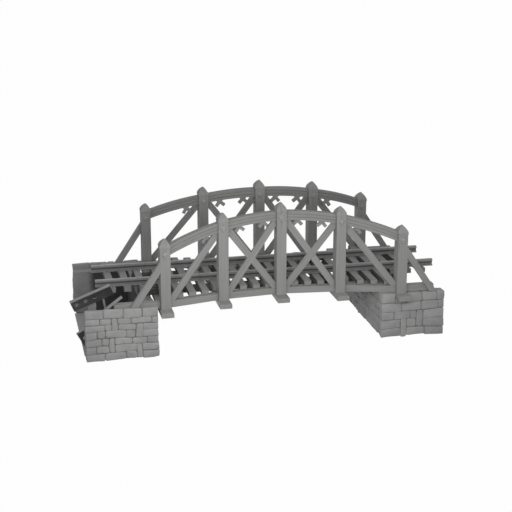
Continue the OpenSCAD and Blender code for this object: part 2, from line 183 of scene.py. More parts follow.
class Finish(Network):
    """Node tree of one material, with the few steps that every finish here uses."""

    def __init__(self, name: str) -> None:
        """Start an empty material."""
        self.material = bpy.data.materials.new(name)
        self.material.use_nodes = True
        super().__init__(self.material.node_tree)

    def attribute(self, name: str, output: str = "Fac") -> Shade:
        """Read a mesh attribute."""
        return self.node("ShaderNodeAttribute", {"attribute_name": name}, output=output)

    def place(self) -> Shade:
        """Object coordinates in metres."""
        return self.node("ShaderNodeTexCoord", output="Object")

    def stretched(self, vector: Shade, scale: Triple) -> Shade:
        """Scale a vector by axis."""
        return self.node("ShaderNodeVectorMath", {"operation": "MULTIPLY"}, {0: vector, 1: scale})

    def noise(self, vector: Shade, scale: float, detail: float = 3.0, rough: float = 0.55) -> Shade:
        """Even noise between 0 and 1.

        Args:
            vector: Where the noise is read.
            scale: Waves to a unit of that vector.
            detail: Number of finer layers.
            rough: Weight of the finer layers.

        Returns:
            The noise.
        """
        return self.node("ShaderNodeTexNoise", None,
                         {"Vector": vector, "Scale": scale, "Detail": detail, "Roughness": rough})

    def cells(self, vector: Shade, scale: float) -> Shade:
        """Distance to the nearest of scattered points."""
        return self.node("ShaderNodeTexVoronoi", None, {"Vector": vector, "Scale": scale})

    def blend(self, share: Any, first: Any, second: Any) -> Shade:
        """Mix two colours.

        Args:
            share: Share of the second colour.
            first: Colour or socket at share 0.
            second: Colour or socket at share 1.

        Returns:
            The mixed colour.
        """
        colours = {6: first if isinstance(first, Shade) else (*first, 1.0),
                   7: second if isinstance(second, Shade) else (*second, 1.0)}
        return self.node("ShaderNodeMix", {"data_type": "RGBA", "clamp_factor": True},
                         {0: share, **colours}, 2)

    def surface(self, colour: Shade, rough: Shade, height: Shade, depth: float,
                metallic: Any = 0.0) -> bpy.types.Material:
        """Close the tree with one shader.

        Args:
            colour: Base colour.
            rough: Roughness.
            height: Relief between 0 and 1.
            depth: Height of the relief in metres.
            metallic: Metallic value or socket.

        Returns:
            The material.
        """
        normal = self.node("ShaderNodeBump", None, {"Strength": 1.0, "Distance": depth, "Height": height})
        shader = self.node("ShaderNodeBsdfPrincipled", None,
                           {"Base Color": colour, "Roughness": rough, "Metallic": metallic, "Normal": normal})
        self.node("ShaderNodeOutputMaterial", None, {"Surface": shader})
        return self.material


@dataclass(frozen=True)
class WeatheredTimber:
    """Silver-grey squared timber with open grain, drying cracks, lighter worn arrises and painted shade on
    the faces that the mesh marks.
    """

    name: str = "weathered_timber"
    dark: Colour = (0.150, 0.149, 0.147)
    light: Colour = (0.352, 0.350, 0.346)
    crack: Colour = (0.060, 0.059, 0.057)
    # Near-black of the painted shade that stands in for the shade between and under timbers.
    painted_shade_colour: Colour = (0.022, 0.022, 0.021)
    relief: float = 0.003
    streak_waves: Triple = (0.55, 13.0, 13.0)
    fibre_waves: Triple = (2.2, 75.0, 75.0)
    crack_waves: Triple = (0.30, 17.0, 17.0)
    patch_waves: Triple = (0.7, 3.5, 3.5)
    ring_waves: float = 520.0

    def material(self) -> bpy.types.Material:
        """Build the finish.

        Returns:
            The material.
        """
        f = Finish(self.name)
        lay = f.attribute("lay", "Vector")
        tint, end, worn = f.attribute("tint"), f.attribute("endgrain"), f.attribute("worn")
        streak = f.noise(f.stretched(lay, self.streak_waves), 1.0, 4.0, 0.6)
        fibre = f.noise(f.stretched(lay, self.fibre_waves), 1.0, 3.0, 0.6)
        line = f.noise(f.stretched(lay, self.crack_waves), 1.0, 2.0, 0.4)
        where = f.noise(f.stretched(lay, self.patch_waves), 1.0, 2.0)
        cracks = (1.0 - abs(line - 0.5).between(0.0, 0.018)) * where.between(0.54, 0.68)
        rings = f.node("ShaderNodeVectorMath", {"operation": "LENGTH"},
                       {0: f.stretched(lay, (0.0, 1.0, 1.0))}, "Value")
        rings = ((rings + fibre * 0.008) * self.ring_waves).sine() * end
        tone = 0.5 + (streak - 0.5) * 0.5 + (fibre - 0.5) * 0.35 + tint * 0.06 + worn * 0.10
        tone = tone - end * 0.03 + rings * 0.06
        colour = f.blend(cracks * 0.65, f.blend(tone, self.dark, self.light), self.crack)
        # Painted shade: faces marked in the mesh go towards near-black, standing in for the shade between
        # sleepers, under the deck and in grooves.
        colour = f.blend(f.attribute("grime") * (0.72 + streak * 0.2), colour, self.painted_shade_colour)
        height = 0.5 + (streak - 0.5) * 0.9 + (fibre - 0.5) * 0.35 - cracks * 0.8
        return f.surface(colour, 0.92 - streak * 0.22, height, self.relief)


@dataclass(frozen=True)
class QuarriedStone:
    """Grey stone with a rough quarried face, and painted shade past a place along the track, standing in for
    the shade under the deck.
    """

    name: str = "quarried_stone"
    dark: Colour = (0.195, 0.195, 0.194)
    light: Colour = (0.415, 0.414, 0.411)
    relief: float = 0.010
    coarse: float = 6.0
    # Near-black of the painted shade under the deck.
    under_deck_shade: Colour = (0.042, 0.042, 0.042)
    under_deck_shade_from: Span | None = None

    def material(self) -> bpy.types.Material:
        """Build the finish.

        Returns:
            The material.
        """
        f = Finish(self.name)
        place, tint = f.place(), f.attribute("tint")
        cloud = f.noise(place, 2.2, 3.0)
        lumps = f.noise(place, self.coarse, 4.0, 0.6)
        grit = f.noise(place, 70.0, 3.0, 0.65)
        pits = f.cells(place, 34.0).between(0.10, 0.32)
        tone = 0.5 + (cloud - 0.5) * 0.7 + (lumps - 0.5) * 0.5 + (grit - 0.5) * 0.55 + tint * 0.09
        colour = f.blend(tone, self.dark, self.light)
        # Painted shade: darker past a place along the track, with a ragged edge, standing in for the shade
        # under the deck.
        if self.under_deck_shade_from:
            along = f.node("ShaderNodeSeparateXYZ", None, {0: place}, X) + (lumps - 0.5) * 0.26
            colour = f.blend(along.between(*self.under_deck_shade_from) * 0.9, colour, self.under_deck_shade)
        height = lumps * 0.7 + grit * 0.22 + pits * 0.08
        return f.surface(colour, 0.80 + grit * 0.18, height, self.relief)


@dataclass(frozen=True)
class ScaledIron:
    """Dull grey iron with mill scale, a breath of rust and brighter worn spots, with painted shade on the
    webs of rails and girders.
    """

    name: str = "scaled_iron"
    scale_dark: Colour = (0.150, 0.149, 0.148)
    scale_light: Colour = (0.330, 0.329, 0.327)
    rust: Colour = (0.165, 0.140, 0.120)
    # Near-black of the painted shade on webs.
    soot: Colour = (0.040, 0.040, 0.040)
    relief: float = 0.002
    shine: float = 0.30
    rough: float = 0.52
    # Heights between which a rail web gets painted shade.
    web: Span | None = None
    web_edge: float = 0.006
    web_shade_share: float = 0.8

    def material(self) -> bpy.types.Material:
        """Build the finish.

        Returns:
            The material.
        """
        f = Finish(self.name)
        place = f.place()
        drawn = f.stretched(place, (0.35, 1.0, 1.0))
        patch = f.noise(place, 5.0, 4.0, 0.6)
        mill = f.noise(drawn, 26.0, 4.0, 0.6)
        grit = f.noise(place, 130.0, 2.0)
        tone = 0.5 + (mill - 0.5) * 1.0 + (grit - 0.5) * 0.4 + (patch - 0.5) * 0.6
        rusty = patch.between(0.54, 0.74) * grit.between(0.35, 0.65)
        colour = f.blend(rusty * 0.6, f.blend(tone, self.scale_dark, self.scale_light), self.rust)
        # Painted shade: the faces the mesh marks, or a band of height under the rail head, go near-black,
        # standing in for the shade on a web.
        web_shade_mask = f.attribute("soot")
        if self.web:
            level = f.node("ShaderNodeSeparateXYZ", None, {0: place}, Z) + (mill - 0.5) * 0.012
            above, below = (level.between(z - self.web_edge, z + self.web_edge) for z in self.web)
            web_shade_mask = above * (1.0 - below)
        colour = f.blend(web_shade_mask * self.web_shade_share, colour, self.soot)
        rough = self.rough + rusty * 0.30 + (grit - 0.5) * 0.2
        metallic = self.shine - rusty * (0.9 * self.shine)
        return f.surface(colour, rough, mill * 0.6 + grit * 0.4, self.relief, metallic)


def hand_over(piece: bpy.types.Object, slot: Slot, nodes: Sequence[str] = ()) -> None:
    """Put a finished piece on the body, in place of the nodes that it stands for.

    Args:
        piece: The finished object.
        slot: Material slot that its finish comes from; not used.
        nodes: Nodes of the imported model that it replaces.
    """
    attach(piece, BODY)
    if nodes:
        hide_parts(*nodes)
    LOG.info("%s: %d faces", piece.name, len(piece.data.polygons))


def new_piece(name: str, mesh: bpy.types.Mesh, finishes: Sequence[bpy.types.Material]) -> bpy.types.Object:
    """Make an object at the origin.

    Args:
        name: Name of the piece.
        mesh: Its mesh, already in place.
        finishes: Materials in slot order.

    Returns:
        The object.
    """
    for finish in finishes:
        mesh.materials.append(finish)
    piece = bpy.data.objects.new(name, mesh)
    bpy.context.scene.collection.objects.link(piece)
    return piece


def smooth(mesh: bpy.types.Mesh, crease: float) -> None:
    """Shade a mesh smooth, apart from creases of more than so many degrees."""
    mesh.shade_smooth()
    mesh.set_sharp_from_angle(angle=math.radians(crease))


def whole_faced(node: str) -> bmesh.types.BMesh:
    """Copy a node, with its flat faces made whole.

    Args:
        node: Name of the node.

    Returns:
        The copy, to be worked on.
    """
    whole = bmesh.new()
    whole.from_mesh(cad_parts[node].data)
    bmesh.ops.remove_doubles(whole, verts=whole.verts, dist=WELD)
    bmesh.ops.dissolve_limit(whole, angle_limit=FLAT_ANGLE, verts=whole.verts[:], edges=whole.edges[:])
    return whole


def ease(whole: bmesh.types.BMesh, edges: Sequence[bmesh.types.BMEdge], angle: float, width: float) -> Faces:
    """Round off the sharp edges.

    Args:
        whole: Mesh that is worked on.
        edges: Edges to choose from, in a fixed order.
        angle: Least angle of a sharp edge in degrees.
        width: How much is taken off.

    Returns:
        The new faces.
    """
    sharp = [e for e in edges if e.calc_face_angle(0.0) > math.radians(angle)]
    made = bmesh.ops.bevel(whole, geom=sharp, offset=width, segments=2, profile=0.6,
                           affect="EDGES", clamp_overlap=True)
    return set(made["faces"])


def plain_mesh(whole: bmesh.types.BMesh, name: str, crease: float) -> bpy.types.Mesh:
    """Turn a worked copy into a mesh.

    Args:
        whole: The worked copy, which is freed.
        name: Name of the mesh.
        crease: Least angle of a crease in degrees.

    Returns:
        The mesh.
    """
    mesh = bpy.data.meshes.new(name)
    whole.to_mesh(mesh)
    whole.free()
    smooth(mesh, crease)
    return mesh


def in_order(whole: bmesh.types.BMesh, parts: set[Any]) -> list[Any]:
    """Put corners, edges or faces in the order of the mesh, so that each run gives the same shape.

    Args:
        whole: Mesh that is worked on.
        parts: Corners, edges or faces of it.

    Returns:
        The same parts, sorted.
    """
    for kind in (whole.verts, whole.edges, whole.faces):
        kind.index_update()
    return sorted(parts, key=lambda part: part.index)


def corners_of(solid: Faces) -> set[bmesh.types.BMVert]:
    """Corners of some faces, each once."""
    return {v for face in solid for v in face.verts}


def edges_of(solid: Faces) -> set[bmesh.types.BMEdge]:
    """Edges of some faces, each once."""
    return {e for face in solid for e in face.edges}


def grow(first: bmesh.types.BMFace) -> Faces:
    """All faces joined to one face.

    Args:
        first: Any face of a solid.

    Returns:
        The faces of that solid.
    """
    group, edge = {first}, [first]
    while edge:
        for side in edge.pop().edges:
            for other in side.link_faces:
                if other not in group:
                    group.add(other)
                    edge.append(other)
    return group


def regrow(solid: Faces) -> Faces:
    """All faces of a solid, after some of them were replaced."""
    return grow(next(face for face in solid if face.is_valid))


def solids(whole: bmesh.types.BMesh) -> list[Faces]:
    """Sort the faces into separate solids.

    Args:
        whole: Mesh that is worked on.

    Returns:
        One set of faces for each solid.
    """
    left, found = set(whole.faces), []
    while left:
        found.append(grow(min(left, key=lambda face: face.index)))
        left -= found[-1]
    return found


class PaintedShadeOn(Enum):
    """Which faces of a timber get painted shade, a near-black that stands in for the shade between sleepers
    and under the deck.
    """

    NOWHERE = 0
    FLANKS = 1
    ALL_OVER = 2


class Lay(Enum):
    """How the grain of a timber runs."""

    STRAIGHT = "straight"
    ARCHED = "arched"


@dataclass(frozen=True)
class TimberLayers:
    """Mesh attributes that the timber finish reads."""

    lay: Any
    tint: Any
    endgrain: Any
    worn: Any
    # Share of painted shade on each face.
    grime: Any

    @classmethod
    def added(cls, whole: bmesh.types.BMesh) -> "TimberLayers":
        """Add the attributes to a mesh."""
        lay = whole.verts.layers.float_vector.new("lay")
        floats = whole.faces.layers.float
        return cls(lay, *(floats.new(name) for name in ("tint", "endgrain", "worn", "grime")))


@dataclass
class Timberwork:
    """All timbers of one node: arrises eased, faces slightly uneven, grain along each timber."""

    node: str
    finish: bpy.types.Material
    slot: Slot = Slot.TIMBER
    lay: Lay = Lay.STRAIGHT
    edge: float = 0.010
    unevenness: float = 0.005
    cut: float = 0.35
    seed: int = 1
    # Faces that get painted shade.
    painted_shade_on: PaintedShadeOn = PaintedShadeOn.NOWHERE
    swell: float = 0.0
    arris_angle: ClassVar[float] = 25.0
    crease_angle: ClassVar[float] = 12.0
    end_lean: ClassVar[float] = 0.8
    flank_lean: ClassVar[float] = 0.2
    top_lean: ClassVar[float] = 0.5
    upright_lean: ClassVar[float] = 0.1
    steep: ClassVar[float] = 0.7
    # Shares of painted shade on the eased arrises of shaded timbers, and in the grooves of arched timbers.
    arris_grime: ClassVar[float] = 0.4
    groove_grime: ClassVar[float] = 0.32
    groove_least: ClassVar[float] = 0.002
    groove_share: ClassVar[float] = 0.5
    log_run: ClassVar[float] = 40.0
    log_heart: ClassVar[float] = 0.08
    waves: ClassVar[Triple] = (1.6, 2.5, 2.5)

    def build(self) -> bpy.types.Object:
        """Dress every solid of the node and hand the piece over.

        Returns:
            The finished piece.
        """
        dice = random.Random(f"{self.node} {self.seed}")
        whole = whole_faced(self.node)
        layers = TimberLayers.added(whole)
        for solid in solids(whole):
            self.dress(whole, solid, layers, dice)
        mesh = plain_mesh(whole, self.node, self.crease_angle)
        piece = new_piece(f"{self.node}_timber", mesh, [self.finish])
        hand_over(piece, self.slot, [self.node])
        return piece

    def dress(self, whole: bmesh.types.BMesh, solid: Faces, layers: TimberLayers,
              dice: random.Random) -> None:
        """Ease, cut and grain one solid.

        Args:
            whole: Mesh of the node.
            solid: Faces of the solid.
            layers: Attributes for the finish.
            dice: Source of chance for this node.
        """
        along = self.direction(solid)
        tone = dice.uniform(-1.0, 1.0)
        for face in solid:
            lean = abs(face.normal.dot(along))
            flank = lean < self.flank_lean and face.normal.z < self.top_lean
            face[layers.tint] = tone
            face[layers.endgrain] = float(lean > self.end_lean)
            # Painted shade on the whole timber or on its flanks, standing in for the shade under the deck and
            # between sleepers.
            face[layers.grime] = float(self.painted_shade_on is PaintedShadeOn.ALL_OVER
                                       or flank and self.painted_shade_on is PaintedShadeOn.FLANKS)
        if self.swell:
            self.thicken(in_order(whole, corners_of(solid)))
        eased = ease(whole, in_order(whole, edges_of(solid)), self.arris_angle, self.edge)
        solid = regrow(solid | eased)
        for face in eased:
            face[layers.tint], face[layers.endgrain], face[layers.worn] = tone, 0.0, 1.0
            # The eased arrises of a shaded timber get a smaller share of painted shade.
            face[layers.grime] = 0.0 if self.painted_shade_on is PaintedShadeOn.NOWHERE else self.arris_grime
        if self.lay is Lay.ARCHED:
            self.paint_groove_shade(solid, layers.grime)
            self.grain_arched(in_order(whole, corners_of(solid)), layers.lay, dice)
            return
        solid = self.split(whole, solid)
        self.saw(whole, solid, along)
        solid = self.split(whole, regrow(solid))
        self.grain_straight(in_order(whole, corners_of(solid)), along, layers.lay, dice)

    def thicken(self, corners: list[bmesh.types.BMVert]) -> None:
        """Make a timber stouter all round.

        Args:
            corners: Corners of the timber, in a fixed order.
        """
        shifts = [v.normal * v.calc_shell_factor() * self.swell for v in corners]
        for v, shift in zip(corners, shifts):
            v.co += shift

    @staticmethod
    def split(whole: bmesh.types.BMesh, solid: Faces) -> Faces:
        """Split the faces with more than four corners into triangles.

        Args:
            whole: Mesh of the node.
            solid: Faces of the solid.

        Returns:
            The faces of the solid afterwards.
        """
        many_cornered = [face for face in in_order(whole, solid) if len(face.verts) > 4]
        bmesh.ops.triangulate(whole, faces=many_cornered)
        return regrow(solid)

    def paint_groove_shade(self, solid: Faces, grime: Any) -> None:
        """Paint shade into the grooves in the two faces of an arched timber.

        Args:
            solid: Faces of the timber.
            grime: Attribute of the painted shade.
        """
        flat = [face for face in solid if abs(face.normal.z) < self.upright_lean]
        across = max(flat, key=lambda face: (round(face.calc_area(), 5), -face.index)).normal.copy()
        reach = [v.co.dot(across) for face in solid for v in face.verts]
        middle, half = (min(reach) + max(reach)) / 2, (max(reach) - min(reach)) / 2
        for face in solid:
            depth = half - abs(face.calc_center_median().dot(across) - middle)
            if self.groove_least < depth < half * self.groove_share:
                face[grime] = self.groove_grime

    def saw(self, whole: bmesh.types.BMesh, solid: Faces, along: Vector) -> None:
        """Cut the faces across the grain, so that they can be uneven.

        Args:
            whole: Mesh of the node.
            solid: Faces of the solid.
            along: Direction of the grain.
        """
        reach = [v.co.dot(along) for face in solid for v in face.verts]
        low, high = min(reach), max(reach)
        count = max(1, round((high - low) / self.cut))
        for k in range(1, count):
            group = regrow(solid)
            geometry = [part for parts in (corners_of(group), edges_of(group), group)
                        for part in in_order(whole, parts)]
            bmesh.ops.bisect_plane(whole, geom=geometry, plane_co=along * (low + (high - low) * k / count),
                                   plane_no=along)

    @staticmethod
    def direction(solid: Faces) -> Vector:
        """Direction of the longest edge, always pointing to +x, +y or +z.

        Args:
            solid: Faces of the solid.

        Returns:
            The grain direction.
        """
        longest = max(edges_of(solid), key=lambda e: (round(e.calc_length(), 5), -e.index))
        along = (longest.verts[1].co - longest.verts[0].co).normalized()
        lead = max(along, key=abs)
        return along if lead > 0 else -along

    def log_place(self, verts: list[bmesh.types.BMVert], dice: random.Random) -> tuple[Vector, Vector]:
        """Choose where in its log a timber was cut.

        Args:
            verts: Corners of one solid.
            dice: Source of chance.

        Returns:
            Middle of the timber, and the place of that middle in the log.
        """
        centre = sum((v.co for v in verts), Vector()) / len(verts)
        heart = self.log_heart
        start = dice.uniform(0, self.log_run), dice.uniform(-heart, heart), dice.uniform(-heart, heart)
        return centre, Vector(start)

    def grain_arched(self, verts: list[bmesh.types.BMVert], lay: Any, dice: random.Random) -> None:
        """Store grain coordinates that follow the bend of an arched timber.

        Args:
            verts: Corners of one solid.
            lay: Attribute of the grain coordinates.
            dice: Source of chance.
        """
        centre, start = self.log_place(verts, dice)
        flat = np.array([(v.co - centre)[:] for v in verts])
        spread = np.linalg.eigh(np.cov(flat[:, :2].T))[1][:, -1]
        along = Vector((*spread.tolist(), 0.0)).normalized()
        across = Vector((-along.y, along.x, 0.0))
        run = flat @ np.array(along[:])
        bend = np.polyfit(run, flat[:, 2], 2)
        for v, s, z in zip(verts, run, flat[:, 2]):
            slope = math.atan(2 * bend[0] * s + bend[1])
            rise = (z - np.polyval(bend, s)) * math.cos(slope)
            v[lay] = Vector((s / math.cos(slope), (v.co - centre).dot(across), rise)) + start

    def grain_straight(self, verts: list[bmesh.types.BMVert], along: Vector, lay: Any,
                       dice: random.Random) -> None:
        """Store grain coordinates of a straight timber and make its faces uneven.

        Args:
            verts: Corners of one solid.
            along: Direction of the grain.
            lay: Attribute of the grain coordinates.
            dice: Source of chance.
        """
        centre, start = self.log_place(verts, dice)
        helper = Vector((0, 0, 1)) if abs(along.z) < self.steep else Vector((0, 1, 0))
        across = along.cross(helper).normalized()
        up = across.cross(along)
        for v in verts:
            off = v.co - centre
            place = Vector((off.dot(along), off.dot(across), off.dot(up))) + start
            v[lay] = place
            wave = noise.noise_vector(Vector([c * often for c, often in zip(place, self.waves)]))
            wave -= along * wave.dot(along)
            v.co += wave * self.unevenness


class Coat(Enum):
    """Finishes of a wall, in slot order."""

    STONE = 0
    JOINT = 1
    INNER = 2


@dataclass(frozen=True)
class StoneFinishes:
    """Finishes of one abutment: on the stones, in the joints and on the inner faces."""

    stone: bpy.types.Material
    joint: bpy.types.Material
    inside: bpy.types.Material


class SlabSide(Enum):
    """Sides of a core block, as the corners of each."""

    BOTTOM = (3, 2, 1, 0)
    TOP = (4, 5, 6, 7)
    LOW_Y = (0, 1, 5, 4)
    HIGH_X = (1, 2, 6, 5)
    HIGH_Y = (2, 3, 7, 6)
    LOW_X = (3, 0, 4, 7)


OPPOSITE = {SlabSide.LOW_Y: SlabSide.HIGH_Y, SlabSide.HIGH_Y: SlabSide.LOW_Y,
            SlabSide.LOW_X: SlabSide.HIGH_X, SlabSide.HIGH_X: SlabSide.LOW_X}


@dataclass
class Stone:
    """One stone: a box with rounded edges, pushed, tilted and skewed in its place."""

    half: Vector
    centre: Vector
    radius: Vector
    push: Vector
    tilt: float
    tint: float
    skew: list[Vector]
    uneven: float
    known: dict[tuple[int, ...], int] = field(default_factory=dict)
    facet: ClassVar[float] = 0.16
    edge_share: ClassVar[float] = 0.35

    def __post_init__(self) -> None:
        """Place the cuts along the three sides."""
        self.ticks = [self.cuts(h, r) for h, r in zip(self.half, self.radius)]

    def cuts(self, half: float, radius: float) -> list[float]:
        """Places of the cuts along one side.

        Args:
            half: Half the length of the side.
            radius: Radius of the rounded edges.

        Returns:
            Places from -half to half.
        """
        flat = half - radius
        inner = max(1, round(2 * flat / self.facet))
        middle = [-flat + 2 * flat * k / inner for k in range(inner + 1)]
        return [-half, -half + self.edge_share * radius] + middle + [half - self.edge_share * radius, half]

    def facets(self) -> Iterator[list[tuple[int, ...]]]:
        """Go round the stone, facet by facet.

        Yields:
            Cut numbers of the four corners of a facet, turned outwards.
        """
        for axis in range(3):
            a, b = (axis + 1) % 3, (axis + 2) % 3
            for end in (0, len(self.ticks[axis]) - 1):
                for i in range(len(self.ticks[a]) - 1):
                    for j in range(len(self.ticks[b]) - 1):
                        ring = [(i, j), (i + 1, j), (i + 1, j + 1), (i, j + 1)]
                        if end == 0:
                            ring.reverse()
                        keys = [{axis: end, a: p, b: q} for p, q in ring]
                        yield [(key[X], key[Y], key[Z]) for key in keys]

    def place(self, key: tuple[int, ...]) -> Vector:
        """Place of one corner, still smooth.

        Args:
            key: Cut numbers of the corner on the three sides.

        Returns:
            The place in the wall.
        """
        half, radius = self.half, self.radius
        place = Vector([self.ticks[n][key[n]] for n in range(3)])
        inside = Vector([max(radius[n] - half[n], min(half[n] - radius[n], place[n])) for n in range(3)])
        out = Vector([(place[n] - inside[n]) / radius[n] for n in range(3)])
        if out.length > 1e-6:
            out.normalize()
            place = inside + Vector([out[n] * radius[n] for n in range(3)])
        share = [0.5 + place[n] / (2 * half[n]) for n in range(3)]
        for number, shift in enumerate(self.skew):
            near = [share[n] if number >> n & 1 else 1 - share[n] for n in range(3)]
            place = place + shift * math.prod(near)
        place.z += (place.x + place.y) * self.tilt
        return place + (self.centre + self.push)


@dataclass
class Masonry:
    """Stones of one wall, laid in courses on a recessed core."""

    name: str
    finishes: StoneFinishes
    seed: int
    top: float
    joint: float = 0.010
    recess: float = 0.030
    round_edge: float = 0.060
    face_edge: float = 0.016
    quoin_edge: float = 0.026
    wave: float = 0.065
    skew: float = 0.008
    shortest: float = 0.20
    longest: float = 0.68
    lift: float = 0.046
    corners: list[Vector] = field(default_factory=list)
    faces: list[tuple[int, ...]] = field(default_factory=list)
    tints: list[float] = field(default_factory=list)
    slots: list[int] = field(default_factory=list)
    joint_shares: ClassVar[Span] = (0.35, 0.65)
    facing_joint_share: ClassVar[float] = 0.25
    ground: ClassVar[float] = 0.001
    thinnest: ClassVar[float] = 0.01
    round_shares: ClassVar[Span] = (0.7, 1.2)
    roundest_share: ClassVar[float] = 0.8
    shift: ClassVar[float] = 0.007
    slope: ClassVar[float] = 0.012
    warp_shares: ClassVar[Span] = (0.4, 0.15)
    level_top: ClassVar[float] = 0.30
    stagger: ClassVar[float] = 0.12
    split_from: ClassVar[float] = 0.36
    split_chance: ClassVar[float] = 0.05
    split_shares: ClassVar[Span] = (0.40, 0.60)
    upright_every: ClassVar[float] = 1.9
    upright_margins: ClassVar[Span] = (0.35, 0.60)
    upright_widths: ClassVar[Span] = (0.15, 0.25)
    upright_clear: ClassVar[float] = 0.24
    crease_angle: ClassVar[float] = 55.0

    def __post_init__(self) -> None:
        """Start the wall's own source of chance."""
        self.dice = random.Random(self.seed)

    def chance(self) -> Vector:
        """Three numbers from -1 to 1."""
        return Vector([self.dice.uniform(-1, 1) for _ in range(3)])

    def block(self, low: Vector, high: Vector, facing: int | None = None, uneven: float = 1.0) -> None:
        """Add one stone with rounded edges and an uneven face.

        Args:
            low: Lowest corner of the space for the stone.
            high: Highest corner of that space.
            facing: Axis of its only seen face, if it has one.
            uneven: How uneven it is, 1 for rubble.
        """
        dice = self.dice
        gap = self.joint * dice.uniform(*self.joint_shares)
        if low.z < self.ground and uneven == 1.0:
            low = low + Vector((0.0, 0.0, dice.uniform(0.0, self.lift)))
        gaps = [gap * self.facing_joint_share if n == facing else gap for n in range(3)]
        half = (high - low) / 2 - Vector(gaps)
        if min(half) < self.thinnest:
            return
        size = dice.uniform(*self.round_shares)
        edge = self.quoin_edge if facing is None else self.round_edge
        eased = [self.face_edge if n == facing else edge for n in range(3)]
        radius = Vector([min(eased[n] * size, half[n] * self.roundest_share) for n in range(3)])
        stone = Stone(half, (high + low) / 2, radius, push=self.chance() * self.shift * uneven,
                      tilt=dice.uniform(-self.slope, self.slope) * uneven, tint=dice.uniform(-1.0, 1.0),
                      skew=[self.chance() * self.skew * uneven for _ in range(8)], uneven=uneven)
        for facet in stone.facets():
            self.faces.append(tuple(self.corner(stone, key) for key in facet))
            self.tints.append(stone.tint)
            self.slots.append(Coat.STONE.value)

    def corner(self, stone: Stone, key: tuple[int, ...]) -> int:
        """Make or find one corner of a stone.

        Args:
            stone: The stone.
            key: Cut numbers of the corner on its three sides.

        Returns:
            Number of the corner in the wall.
        """
        if key not in stone.known:
            stone.known[key] = len(self.corners)
            self.corners.append(self.roughened(stone.place(key), stone.uneven))
        return stone.known[key]

    def roughened(self, place: Vector, uneven: float) -> Vector:
        """Move a corner as rough stone and wavy beds would, but not below the ground.

        Args:
            place: The smooth place.
            uneven: How uneven the stone is.

        Returns:
            The rough place.
        """
        rough = noise.noise_vector(place * 5.5 + Vector((self.seed, 0, 0))) * 0.010
        rough += noise.noise_vector(place * 13.0 + Vector((0, self.seed, 0))) * 0.004
        warp = noise.noise_vector(place * 1.5 + Vector((0, 0, self.seed * 7.0))) * self.wave
        free = max(0.0, min(1.0, (self.top - place.z) / self.level_top))
        along, across = self.warp_shares
        warp = Vector((warp.x * along, warp.y * across, warp.z * free))
        place += (rough + warp) * uneven
        place.z = max(place.z, 0.0)
        return place

    def slab(self, low: Sequence[float], high: Sequence[float], covered: SlabSide) -> None:
        """Add one block of the core.

        Args:
            low: Lowest corner.
            high: Highest corner.
            covered: Side that lies behind the stones.
        """
        base = len(self.corners)
        for z in (low[Z], high[Z]):
            for x, y in ((low[X], low[Y]), (high[X], low[Y]), (high[X], high[Y]), (low[X], high[Y])):
                self.corners.append(Vector((x, y, z)))
        coats = {covered: Coat.JOINT, OPPOSITE.get(covered): Coat.INNER}
        for side in SlabSide:
            self.faces.append(tuple(base + n for n in side.value))
            self.tints.append(0.0)
            self.slots.append(coats.get(side, Coat.STONE).value)

    def cut_run(self, start: float, end: float, below: list[float]) -> list[float]:
        """Cut a run into stones whose upright joints miss those of the course below.

        Args:
            start: Start of the run.
            end: End of the run.
            below: Joints of the course below.

        Returns:
            Places of all joints from start to end.
        """
        cuts = [start]
        while end - cuts[-1] > self.longest:
            tries = [cuts[-1] + self.dice.uniform(self.shortest, self.longest) for _ in range(4)]
            best = max(tries, key=lambda c: min([abs(c - b) for b in below] + [self.stagger]))
            cuts.append(min(best, end - self.shortest))
        return cuts + [end]

    def courses(self, start: float, end: float, levels: Sequence[float]) -> list[tuple[float, ...]]:
        """Lay out rubble courses, with upright stones that reach through two of them.

        Args:
            start: Start of the run.
            end: End of the run.
            levels: Heights of the beds.

        Returns:
            Start, end, foot and top of each stone.
        """
        stones, joints, taken = [], [], []
        for k, (foot, top) in enumerate(zip(levels, levels[1:])):
            upright = []
            if k + 2 < len(levels):
                upright = self.uprights(start, end, taken)
                stones += [(a, b, foot, levels[k + 2]) for a, b in upright]
            gaps = sorted(taken + upright)
            edges = [start] + [place for gap in gaps for place in gap] + [end]
            below, joints = joints, []
            for a, b in zip(edges[0::2], edges[1::2]):
                cuts = self.cut_run(a, b, below)
                joints += cuts
                for left, right in zip(cuts, cuts[1:]):
                    if right - left > self.split_from and self.dice.random() < self.split_chance:
                        bed = foot + (top - foot) * self.dice.uniform(*self.split_shares)
                        stones += [(left, right, foot, bed), (left, right, bed, top)]
                    else:
                        stones.append((left, right, foot, top))
            taken = upright
        return stones

    def uprights(self, start: float, end: float, taken: list[Span]) -> list[Span]:
        """Choose places for upright stones, clear of those that come up from below.

        Args:
            start: Start of the run.
            end: End of the run.
            taken: Places that stones from the course below reach into.

        Returns:
            Start and end of each upright stone.
        """
        found: list[Span] = []
        clear = self.upright_clear
        for _ in range(round((end - start) / self.upright_every)):
            left = self.dice.uniform(start + self.upright_margins[0], end - self.upright_margins[1])
            right = left + self.dice.uniform(*self.upright_widths)
            if all(right + clear < a or left - clear > b for a, b in taken + found):
                found.append((left, right))
        return sorted(found)

    def piece(self, node: str) -> bpy.types.Object:
        """Turn the wall into a piece that replaces its node.

        Args:
            node: Node that the wall stands for.

        Returns:
            The finished piece.
        """
        mesh = bpy.data.meshes.new(self.name)
        mesh.from_pydata([c[:] for c in self.corners], [], self.faces)
        mesh.polygons.foreach_set("material_index", self.slots)
        tint = mesh.attributes.new("tint", "FLOAT", "FACE")
        tint.data.foreach_set("value", self.tints)
        smooth(mesh, self.crease_angle)
        mesh.update()
        piece = new_piece(self.name, mesh, [self.finishes.stone, self.finishes.joint, self.finishes.inside])
        hand_over(piece, Slot.STONE, [node])
        return piece


